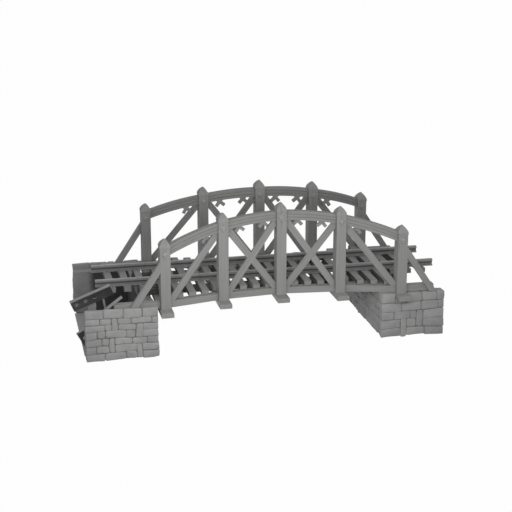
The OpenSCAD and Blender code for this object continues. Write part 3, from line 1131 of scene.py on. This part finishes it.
@dataclass
class Abutment:
    """Breast wall and two wing walls of one end of the bridge."""

    end: str
    levels: list[float]
    span_sign: int
    finishes: StoneFinishes
    seed: int
    parapet: float = 0.0
    face_depth: float = 0.23
    foot_depth: float = 0.2
    foot_end: float = 0.06
    parapet_end: float = 0.1
    lowest_course: float = 0.02
    top_joint: float = 0.004
    beam_joint: float = 0.004
    beam_bed: float = 0.002
    beam_clear: float = 0.02
    lap: float = 0.01

    def build(self) -> None:
        """Build the three walls."""
        self.breast()
        for side in Side:
            self.wing(side)

    def wall(self, part: str, seed: int) -> Masonry:
        """Start one wall.

        Args:
            part: Name of the wall in this abutment.
            seed: Number that tells this wall's chance from the others'.

        Returns:
            An empty wall.
        """
        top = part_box(f"{self.end}_{part}")[1].z
        return Masonry(f"{self.end}_{part}_masonry", self.finishes, self.seed + seed, top)

    def beds(self, top: float) -> list[float]:
        """Heights of the beds that leave room for a course below the top of a wall."""
        return [z for z in self.levels if z < top - self.lowest_course]

    def breast(self) -> None:
        """Lay the wall under the end of the deck."""
        node = f"{self.end}_breast_wall"
        low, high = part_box(node)
        wall = self.wall("breast_wall", 1)
        levels = self.beds(high.z) + [high.z - self.top_joint]
        forward = self.span_sign > 0
        for y0, y1, z0, z1 in wall.courses(low.y, high.y, levels):
            depth = high.x - low.x if z1 == levels[-1] else self.face_depth
            x0, x1 = (high.x - depth, high.x) if forward else (low.x, low.x + depth)
            wall.block(Vector((x0, y0, z0)), Vector((x1, y1, z1)), X)
        covered = SlabSide.HIGH_X if forward else SlabSide.LOW_X
        x0, x1 = (low.x, high.x - wall.recess) if forward else (low.x + wall.recess, high.x)
        wall.slab((x0, low.y, wall.lift), (x1, high.y, high.z - wall.recess), covered)
        x0, x1 = (x0, high.x - self.foot_depth) if forward else (low.x + self.foot_depth, x1)
        wall.slab((x0, low.y, 0.0), (x1, high.y, wall.lift + self.lap), covered)
        wall.piece(node)

    def wing(self, side: Side) -> None:
        """Lay one of the two long walls, with quoins at both ends.

        Args:
            side: Side of the track.
        """
        node = f"{self.end}_{side.name.lower()}_wing_wall"
        low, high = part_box(node)
        wall = self.wall(f"{side.name.lower()}_wing_wall", 5 + side.value)
        reach = high.y - low.y - wall.recess
        outer = high.y if side is Side.FAR else low.y
        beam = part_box("floor_beam_5") if not self.parapet else None
        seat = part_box(f"{self.end}_breast_wall")[1].z

        def stone(x0: float, x1: float, z0: float, z1: float, depth: float, facing: int | None = Y) -> None:
            """Lay one stone from the outer face to a depth."""
            ys = sorted((outer, outer - side.value * depth))
            wall.block(Vector((x0, ys[0], z0)), Vector((x1, ys[1], z1)), facing)

        levels = self.beds(high.z)
        for x0, x1, z0, z1 in wall.courses(low.x, high.x, levels):
            if low.x < x0 and x1 < high.x:
                stone(x0, x1, z0, z1, self.face_depth)
            else:
                stone(x0, x1, z0, min(z1, seat - self.top_joint), reach, None)
        runs = [(low.x, high.x)]
        if beam:
            runs = [(low.x, beam[0].x - self.beam_joint), (beam[1].x + self.beam_joint, high.x)]
            stone(beam[0].x, beam[1].x, levels[-1], beam[0].z - self.beam_bed, reach)
        for a, b in runs:
            cuts = wall.cut_run(a, b, [])
            for x0, x1 in zip(cuts, cuts[1:]):
                inner = low.x < x0 and x1 < high.x
                stone(x0, x1, levels[-1], high.z, self.parapet or reach, Y if inner else None)
        self.wing_core(wall, low, high, side, beam)
        wall.piece(node)

    def wing_core(self, wall: Masonry, low: Vector, high: Vector, side: Side,
                  beam: tuple[Vector, Vector] | None) -> None:
        """Fill a long wall behind its stones.

        Args:
            wall: The wall.
            low: Lowest corner of the wall.
            high: Highest corner of the wall.
            side: Side of the track.
            beam: Box of the floor beam that is let into the wall, if one is.
        """
        near = side is Side.NEAR
        covered = SlabSide.LOW_Y if near else SlabSide.HIGH_Y

        def fill(ends: Span, heights: Span, depth: float) -> None:
            """Fill from a depth behind the outer face to the inner face."""
            y0, y1 = (low.y + depth, high.y) if near else (low.y, high.y - depth)
            wall.slab((ends[0], y0, heights[0]), (ends[1], y1, heights[1]), covered)

        x0, x1 = low.x + wall.recess, high.x - wall.recess
        fill((low.x + self.foot_end, high.x - self.foot_end), (0.0, wall.lift + self.lap), self.foot_depth)
        if beam is None:
            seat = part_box(f"{self.end}_breast_wall")[1].z
            fill((x0, x1), (wall.lift, seat), wall.recess)
            outer = low.y if near else high.y
            ys = sorted(outer - side.value * depth for depth in (wall.recess, self.parapet - wall.recess))
            wall.slab((low.x + self.parapet_end, ys[0], seat),
                      (high.x - self.parapet_end, ys[1], high.z - wall.recess), covered)
            return
        bed = beam[0].z - self.lap
        fill((x0, x1), (wall.lift, bed), wall.recess)
        for ends in ((x0, beam[0].x - self.beam_clear), (beam[1].x + self.beam_clear, x1)):
            fill(ends, (bed, high.z - wall.recess), wall.recess)


@dataclass
class Paving:
    """Flagstones inside one abutment."""

    node: str
    finishes: StoneFinishes
    seed: int
    row: float = 0.48
    uneven: float = 0.25

    def build(self) -> None:
        """Lay rows of flags on a thin bed."""
        low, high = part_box(self.node)
        bed = Masonry(f"{self.node}_paving", self.finishes, self.seed, high.z, joint=0.012, recess=0.010,
                      round_edge=0.030, face_edge=0.010, shortest=0.35, longest=0.85)
        rows = max(1, round((high.x - low.x) / self.row))
        xs = [low.x + (high.x - low.x) * k / rows for k in range(rows + 1)]
        joints: list[float] = []
        for x0, x1 in zip(xs, xs[1:]):
            joints = bed.cut_run(low.y, high.y, joints)
            for y0, y1 in zip(joints, joints[1:]):
                bed.block(Vector((x0, y0, low.z)), Vector((x1, y1, high.z)), Z, self.uneven)
        bed.slab(low, (high.x, high.y, high.z - bed.recess), SlabSide.TOP)
        bed.piece(self.node)


@dataclass
class SmallIron:
    """Small iron pieces that repeat, set on points by Geometry Nodes."""

    name: str
    finish: bpy.types.Material
    points: list[Vector]
    outs: list[Vector]
    sizes: dict[str, float]
    seed: int = 3
    crease_angle: ClassVar[float] = 32.0
    scales: ClassVar[Span] = (0.94, 1.06)

    def build(self) -> bpy.types.Object:
        """Run the tree and hand the plain mesh over.

        Returns:
            The finished piece.
        """
        seeds = bpy.data.meshes.new(f"{self.name}_points")
        seeds.from_pydata([p[:] for p in self.points], [], [])
        out = seeds.attributes.new("out", "FLOAT_VECTOR", "POINT")
        out.data.foreach_set("vector", [c for o in self.outs for c in o])
        carrier = bpy.data.objects.new(f"{self.name}_carrier", seeds)
        bpy.context.scene.collection.objects.link(carrier)
        tree, names = self.tree()
        modifier = carrier.modifiers.new("set_on_points", "NODES")
        modifier.node_group = tree
        for name, value in {**self.sizes, "Seed": self.seed}.items():
            modifier[names[name]] = value
        view = bpy.context.evaluated_depsgraph_get()
        mesh = bpy.data.meshes.new_from_object(carrier.evaluated_get(view), depsgraph=view)
        mesh.name = self.name
        carrier.modifiers.clear()
        bpy.data.objects.remove(carrier)
        mesh.materials.clear()
        smooth(mesh, self.crease_angle)
        piece = new_piece(self.name, mesh, [self.finish])
        hand_over(piece, Slot.IRON)
        return piece

    def shape(self, g: Network, size: dict[str, Shade]) -> Shade:
        """Shape that is set on every point, standing on z = 0.

        Args:
            g: The tree.
            size: Named inputs of the tree.

        Returns:
            Geometry of one small piece.
        """
        raise NotImplementedError

    def tree(self) -> tuple[bpy.types.NodeTree, dict[str, str]]:
        """Build the Geometry Nodes tree.

        Returns:
            The tree, and the identifier of each named input.
        """
        tree = bpy.data.node_groups.new(f"{self.name}_tree", "GeometryNodeTree")
        kinds = {**{name: "NodeSocketFloat" for name in self.sizes}, "Seed": "NodeSocketInt"}
        tree.interface.new_socket(name="Geometry", in_out="INPUT", socket_type="NodeSocketGeometry")
        names = {name: tree.interface.new_socket(name=name, in_out="INPUT", socket_type=kind).identifier
                 for name, kind in kinds.items()}
        tree.interface.new_socket(name="Geometry", in_out="OUTPUT", socket_type="NodeSocketGeometry")
        g = Network(tree)
        entry = g.node("NodeGroupInput")
        outputs = entry.socket.node.outputs
        size = {name: Shade(g, outputs[name]) for name in kinds}
        out = g.node("GeometryNodeInputNamedAttribute", {"data_type": "FLOAT_VECTOR"}, {"Name": "out"},
                     "Attribute")
        turn = g.node("FunctionNodeAlignRotationToVector", {"axis": "Z"}, {"Vector": out})
        least, most = self.scales
        scale = g.node("FunctionNodeRandomValue", {"data_type": "FLOAT"},
                       {2: least, 3: most, "Seed": size["Seed"]}, 1)
        many = g.node("GeometryNodeInstanceOnPoints", None,
                      {"Points": entry, "Instance": self.shape(g, size), "Rotation": turn, "Scale": scale})
        plain = g.node("GeometryNodeRealizeInstances", None, {"Geometry": many})
        coated = g.node("GeometryNodeSetMaterial", None, {"Geometry": plain, "Material": self.finish})
        g.node("NodeGroupOutput", None, {"Geometry": coated})
        return tree, names


class BoltPlates(SmallIron):
    """Diamond plates with a round bolt head, on the faces of the posts."""

    top_share: ClassVar[float] = 0.76
    plate_stretch: ClassVar[Triple] = (0.84, 1.06, 1.0)
    head_stretch: ClassVar[Triple] = (1.0, 1.0, 0.30)

    def shape(self, g: Network, size: dict[str, Shade]) -> Shade:
        """Bevelled diamond plate under a domed head.

        Args:
            g: The tree.
            size: Named inputs of the tree.

        Returns:
            Geometry of one plate and head.
        """
        plate = g.node("GeometryNodeMeshCone", None,
                       {"Vertices": 4, "Radius Bottom": size["Plate"],
                        "Radius Top": size["Plate"] * self.top_share, "Depth": size["Thickness"]})
        stretch = g.node("GeometryNodeTransform", None, {"Geometry": plate, "Scale": self.plate_stretch})
        dome = g.node("GeometryNodeMeshUVSphere", None, {"Segments": 12, "Rings": 6, "Radius": size["Head"]})
        lift = g.node("ShaderNodeCombineXYZ", None, {Z: size["Thickness"]})
        head = g.node("GeometryNodeTransform", None,
                      {"Geometry": dome, "Translation": lift, "Scale": self.head_stretch})
        return g.node("GeometryNodeJoinGeometry", None, {0: [stretch, head]})


class RailSpikes(SmallIron):
    """Spikes that hold the rail foot to the sleepers."""

    cap: ClassVar[float] = 0.016
    cap_share: ClassVar[float] = 0.6
    shank_share: ClassVar[float] = 0.7

    def shape(self, g: Network, size: dict[str, Shade]) -> Shade:
        """Square shank with a wider tapered head.

        Args:
            g: The tree.
            size: Named inputs of the tree.

        Returns:
            Geometry of one spike.
        """
        head = g.node("GeometryNodeMeshCone", None,
                      {"Vertices": 6, "Radius Bottom": size["Head"],
                       "Radius Top": size["Head"] * self.cap_share, "Depth": self.cap})
        lift = g.node("ShaderNodeCombineXYZ", None, {Z: size["Height"] - self.cap})
        head = g.node("GeometryNodeTransform", None, {"Geometry": head, "Translation": lift})
        shank = size["Head"] * self.shank_share
        shank = g.node("GeometryNodeMeshCone", None,
                       {"Vertices": 4, "Radius Bottom": shank, "Radius Top": shank, "Depth": size["Height"]})
        return g.node("GeometryNodeJoinGeometry", None, {0: [head, shank]})


@dataclass
class Ironwork:
    """Rails, fallen girders, bolt plates on the posts and rail spikes."""

    finish: bpy.types.Material
    rail_finish: bpy.types.Material
    plate_finish: bpy.types.Material
    rails: tuple[str, ...] = ("near_rail", "far_rail")
    girders: tuple[str, ...] = ("fallen_girder", "fallen_lower_girder")
    flare: float = 0.012
    below_tip: float = 0.440
    rail_side: float = 0.084
    spike_stagger: float = 0.035
    girder_edge: float = 0.003
    girder_angle: float = 40.0
    girder_crease: float = 30.0
    web_depths: Span = (-0.030, 0.005)
    web_lean: float = 0.99

    def build(self) -> None:
        """Dress the kept nodes and set the small iron."""
        for node in self.rails:
            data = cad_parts[node].data
            data.materials.clear()
            data.materials.append(self.rail_finish)
            LOG.info("%s: kept, iron finish", node)
        for node in self.girders:
            self.girder(node)
        self.plates()
        self.spikes()

    def girder(self, node: str) -> None:
        """Ease the edges of a fallen girder and paint shade on its web.

        Args:
            node: Node of the girder.
        """
        whole = whole_faced(node)
        soot = whole.faces.layers.float.new("soot")
        largest = max(whole.faces, key=lambda face: face.calc_area())
        out, place = largest.normal.copy(), largest.calc_center_median()
        deepest, highest = self.web_depths
        # Painted shade on the flat faces of the web, standing in for the shade under the flange.
        for face in whole.faces:
            off = (face.calc_center_median() - place).dot(out)
            face[soot] = float(abs(face.normal.dot(out)) > self.web_lean and deepest < off < highest)
        ease(whole, whole.edges[:], self.girder_angle, self.girder_edge)
        mesh = plain_mesh(whole, node, self.girder_crease)
        hand_over(new_piece(f"{node}_plates", mesh, [self.finish]), Slot.IRON, [node])

    def plates(self) -> None:
        """Set a plate on the outer and inner face of every post."""
        points, outs = [], []
        for side in Side:
            for k in range(1, POSTS + 1):
                low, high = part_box(f"{side.name.lower()}_post_{k}")
                x, z = (low.x + high.x) / 2, high.z - self.below_tip
                for sign, y in ((-1, low.y + self.flare), (1, high.y - self.flare)):
                    points.append(Vector((x, y, z)))
                    outs.append(Vector((0, sign, 0)))
        sizes = {"Plate": 0.124, "Thickness": 0.032, "Head": 0.050}
        BoltPlates("post_bolt_plates", self.plate_finish, points, outs, sizes).build()

    def spikes(self) -> None:
        """Set two spikes where each rail crosses each sleeper."""
        points = []
        centres = sorted(self.sleeper_places("short_sleepers") + self.sleeper_places("long_sleepers"))
        for rail in self.rails:
            low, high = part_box(rail)
            middle = (low.y + high.y) / 2
            for k, x in enumerate(centres):
                for sign in (-1, 1):
                    shift = self.spike_stagger * sign * (1 if k % 2 else -1)
                    points.append(Vector((x + shift, middle + sign * self.rail_side, low.z)))
        outs = [Vector((0, 0, 1))] * len(points)
        RailSpikes("rail_spikes", self.finish, points, outs, {"Head": 0.024, "Height": 0.060}).build()

    @staticmethod
    def sleeper_places(node: str) -> list[float]:
        """Middles of the sleepers of a node along the track.

        Args:
            node: Name of the node.

        Returns:
            Places in metres, each once.
        """
        edges = sorted({round(v.co.x, 3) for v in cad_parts[node].data.vertices})
        return sorted((a + b) / 2 for a, b in zip(edges[0::2], edges[1::2]))


@dataclass(frozen=True)
class SoftBox:
    """One rectangular lamp that the camera does not see."""

    name: str
    place: Triple
    size: Span
    power: float
    aim: Triple

    def build(self) -> None:
        """Add the lamp."""
        data = bpy.data.lights.new(self.name, "AREA")
        data.shape, data.size, data.size_y, data.energy = "RECTANGLE", *self.size, self.power
        lamp = bpy.data.objects.new(self.name, data)
        lamp.location = self.place
        lamp.rotation_mode = "QUATERNION"
        lamp.rotation_quaternion = (Vector(self.place) - Vector(self.aim)).to_track_quat("Z", "Y")
        lamp.visible_camera = False
        bpy.context.scene.collection.objects.link(lamp)


@dataclass
class Studio:
    """Pale floor, soft light and the camera."""

    target: Triple = (0.188, 0.0, 2.170)
    azimuth: float = -12.296
    elevation: float = 16.610
    distance: float = 38.82
    lens: float = 87.3
    ambient: float = 0.48
    floor_shade: Colour = (0.30, 0.30, 0.30)
    floor_half: float = 300.0
    floor_level: float = -0.001
    floor_white: float = 0.985
    white: tuple[float, ...] = (1.0, 1.0, 1.0, 1.0)

    def build(self) -> None:
        """Make the camera, the lamps, the world and the floor."""
        self.camera()
        SoftBox("key_light", (-0.9, -9.6, 5.4), (12.0, 2.5), 610.0, self.target).build()
        SoftBox("back_light", (0.9, 11.0, 2.6), (12.0, 2.5), 300.0, self.target).build()
        SoftBox("low_fill", (-2.0, -0.4, 0.55), (2.4, 0.8), 34.0, (3.6, 0.0, 0.6)).build()
        self.world()
        self.floor()
        bpy.context.scene.view_settings.view_transform = "Standard"

    def camera(self) -> None:
        """Set up the camera; azimuth 0 looks along +Y."""
        data = bpy.data.cameras.new("camera")
        data.lens, data.sensor_width, data.clip_end = self.lens, 36.0, 500.0
        eye = bpy.data.objects.new("camera", data)
        turn, rise = math.radians(self.azimuth), math.radians(self.elevation)
        back = Vector((math.sin(turn) * math.cos(rise), -math.cos(turn) * math.cos(rise), math.sin(rise)))
        eye.location = Vector(self.target) + back * self.distance
        eye.rotation_mode = "QUATERNION"
        eye.rotation_quaternion = (-back).to_track_quat("-Z", "Y")
        bpy.context.scene.collection.objects.link(eye)
        bpy.context.scene.camera = eye

    @staticmethod
    def seen(n: Network) -> Shade:
        """1 for rays that show the background, straight or in a mirror.

        Args:
            n: The tree.

        Returns:
            The share of white.
        """
        path = n.node("ShaderNodeLightPath", output="Is Camera Ray")
        outputs = path.socket.node.outputs
        both = path + Shade(n, outputs["Is Glossy Ray"]) + Shade(n, outputs["Is Transmission Ray"])
        return both.between(0.0, 1.0)

    def world(self) -> None:
        """White to look at, grey as a light."""
        world = bpy.data.worlds.new("studio")
        world.use_nodes = True
        bpy.context.scene.world = world
        n = Network(world.node_tree)
        grey = n.node("ShaderNodeBackground", None, {"Color": self.white, "Strength": self.ambient})
        white = n.node("ShaderNodeBackground", None, {"Color": self.white, "Strength": 1.0})
        both = n.node("ShaderNodeMixShader", None, {0: self.seen(n), 1: grey, 2: white})
        n.node("ShaderNodeOutputWorld", None, {"Surface": both})

    def floor(self) -> None:
        """Lay a wide pale floor that keeps the shadow."""
        half, level = self.floor_half, self.floor_level
        mesh = bpy.data.meshes.new("floor")
        corners = [(-half, -half, level), (half, -half, level), (half, half, level), (-half, half, level)]
        mesh.from_pydata(corners, [], [(0, 1, 2, 3)])
        f = Finish("pale_floor")
        dull = f.node("ShaderNodeBsdfDiffuse", None, {"Color": (*self.floor_shade, 1.0)})
        white = f.node("ShaderNodeEmission", None, {"Color": self.white, "Strength": 1.0})
        both = f.node("ShaderNodeMixShader", None, {0: self.seen(f) * self.floor_white, 1: dull, 2: white})
        f.node("ShaderNodeOutputMaterial", None, {"Surface": both})
        new_piece("floor", mesh, [f.material])


@dataclass
class Bridge:
    """The whole bridge, built in the order of the work."""

    left_beds: tuple[float, ...] = (0.0, 0.245, 0.470, 0.680, 0.905, 1.110, 1.310)
    right_beds: tuple[float, ...] = (0.0, 0.290, 0.560, 0.835, 1.105)
    left_parapet: float = 0.150
    # Where the painted shade under the ends of the deck starts, and how far it reaches on the walls and on
    # the left floor.
    shade_start: float = 0.06
    left_shade_reach: float = 0.24
    floor_shade_reach: float = 0.60
    right_shade_reach: float = 0.30
    # Shares of the rail's height between which the web gets painted shade.
    web_shares: Span = (0.36, 0.62)

    def build(self) -> None:
        """Build the walls, the timberwork and the ironwork, the same in each run."""
        noise.seed_set(NOISE_SEED)
        stone = QuarriedStone().material()
        self.walls(stone)
        self.timbers()
        Timberwork("rubble_stone", stone, Slot.STONE, edge=0.040, unevenness=0.030, cut=0.12).build()
        self.iron()

    def walls(self, stone: bpy.types.Material) -> None:
        """Build the two abutments and their floors.

        Args:
            stone: Finish of the stones.
        """
        core = QuarriedStone("wall_core", (0.100, 0.100, 0.100), (0.235, 0.235, 0.234), 0.006, 3.0).material()
        left_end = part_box("near_rail")[0].x
        right_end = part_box("right_near_wing_wall")[1].x
        # Spans of painted shade on the inner faces and floors under the ends of the deck.
        left_shade_span = (left_end - self.shade_start, left_end + self.left_shade_reach)
        floor_shade_span = (left_end - self.shade_start, left_end + self.floor_shade_reach)
        right_shade_span = (right_end, right_end - self.right_shade_reach)
        inner_left = QuarriedStone("left_inner_stone", relief=0.005, under_deck_shade_from=left_shade_span).material()
        inner_right = QuarriedStone("right_inner_stone", relief=0.005, under_deck_shade_from=right_shade_span).material()
        # Painted light: the left floor's flags are a lighter copy of the stone, standing in for light on a
        # floor that lies in the shade of the walls; under the deck they take painted shade.
        lit_flag_stone = QuarriedStone("flag_stone", (0.270, 0.270, 0.268), (0.540, 0.539, 0.535), 0.005,
                             under_deck_shade_from=floor_shade_span).material()
        left = StoneFinishes(stone, core, inner_left)
        right = StoneFinishes(stone, core, inner_right)
        Abutment("left", list(self.left_beds), 1, left, 11, self.left_parapet).build()
        Abutment("right", list(self.right_beds), -1, right, 47).build()
        Paving("left_floor", StoneFinishes(lit_flag_stone, core, lit_flag_stone), 71).build()
        Paving("right_floor", StoneFinishes(inner_right, core, inner_right), 73).build()

    @staticmethod
    def timbers() -> None:
        """Dress the floor beams, the two side frames, the sleepers and the broken timbers."""
        timber = WeatheredTimber().material()
        tie = WeatheredTimber("weathered_sleeper", (0.140, 0.139, 0.137), (0.334, 0.332, 0.328)).material()
        arch = WeatheredTimber("weathered_arch", (0.136, 0.135, 0.133), (0.320, 0.318, 0.314)).material()
        for k in range(1, POSTS + 1):
            Timberwork(f"floor_beam_{k}", timber, seed=k).build()
        for side in ("near", "far"):
            for k in range(1, POSTS + 1):
                Timberwork(f"{side}_post_{k}", timber, edge=0.008, seed=k).build()
            Timberwork(f"{side}_arch_rail", arch, lay=Lay.ARCHED, edge=0.006).build()
            for part in ("chord", "rising_braces", "falling_braces", "end_rakers"):
                Timberwork(f"{side}_{part}", timber, edge=0.007).build()
            # The stringers under the deck get painted shade all over.
            Timberwork(f"{side}_stringer", timber, edge=0.007, painted_shade_on=PaintedShadeOn.ALL_OVER).build()
            Timberwork(f"{side}_brackets", timber, edge=0.006, unevenness=0.0, swell=0.008).build()
        # The flanks of the sleepers get painted shade, standing in for the shade between them.
        for node in ("long_sleepers", "short_sleepers"):
            Timberwork(node, tie, Slot.SLEEPER, edge=0.014, unevenness=0.008, painted_shade_on=PaintedShadeOn.FLANKS).build()
        Timberwork("broken_props", timber, edge=0.012, unevenness=0.010).build()

    def iron(self) -> None:
        """Dress the rails and the girders and set the small iron."""
        # Painted shade on a band of the rail web under the head.
        foot, head = (corner.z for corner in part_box("near_rail"))
        web = tuple(foot + share * (head - foot) for share in self.web_shares)
        rail = ScaledIron("rail_iron", web=web).material()
        plate = ScaledIron("plate_iron", (0.185, 0.184, 0.183), (0.390, 0.389, 0.387), shine=0.0,
                           rough=0.86).material()
        Ironwork(ScaledIron().material(), rail, plate).build()


def main() -> None:
    """Build the bridge and the studio, logging the faces of each piece."""
    logging.basicConfig(level=logging.INFO, format="%(message)s")
    Bridge().build()
    Studio().build()


if __name__ == "__main__":
    main()
